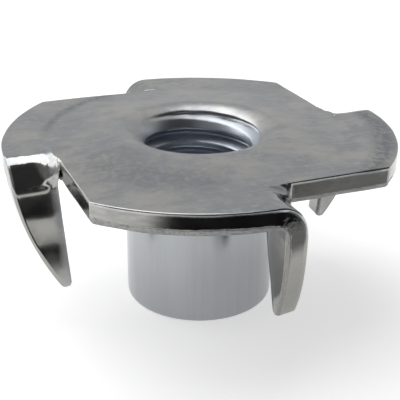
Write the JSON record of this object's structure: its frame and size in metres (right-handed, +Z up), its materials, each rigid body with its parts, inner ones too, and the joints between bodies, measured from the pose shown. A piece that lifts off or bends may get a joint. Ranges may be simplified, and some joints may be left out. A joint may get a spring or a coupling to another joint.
{
  "type": "tee nut",
  "caption": "Pressed steel tee nut: a drawn, threaded barrel under a round flange whose rim is slit and folded down into prongs that bite into timber.",
  "frame": {"origin": "on the screw axis, at the foot of the barrel", "axes": "+Z up the screw axis towards the flange; the first prong hangs at +X, and its slit runs from its root towards +Y"},
  "size_m": [0.019, 0.019, 0.0088],
  "materials": {
    "zinc_plated_steel": "bright zinc plate, satin on the flat of the flange and mirror-like at the folds and die-rolled edges"
  },
  "bodies": {
    "root": {"tee_nut": "zinc_plated_steel"}
  },
  "joints": []
}
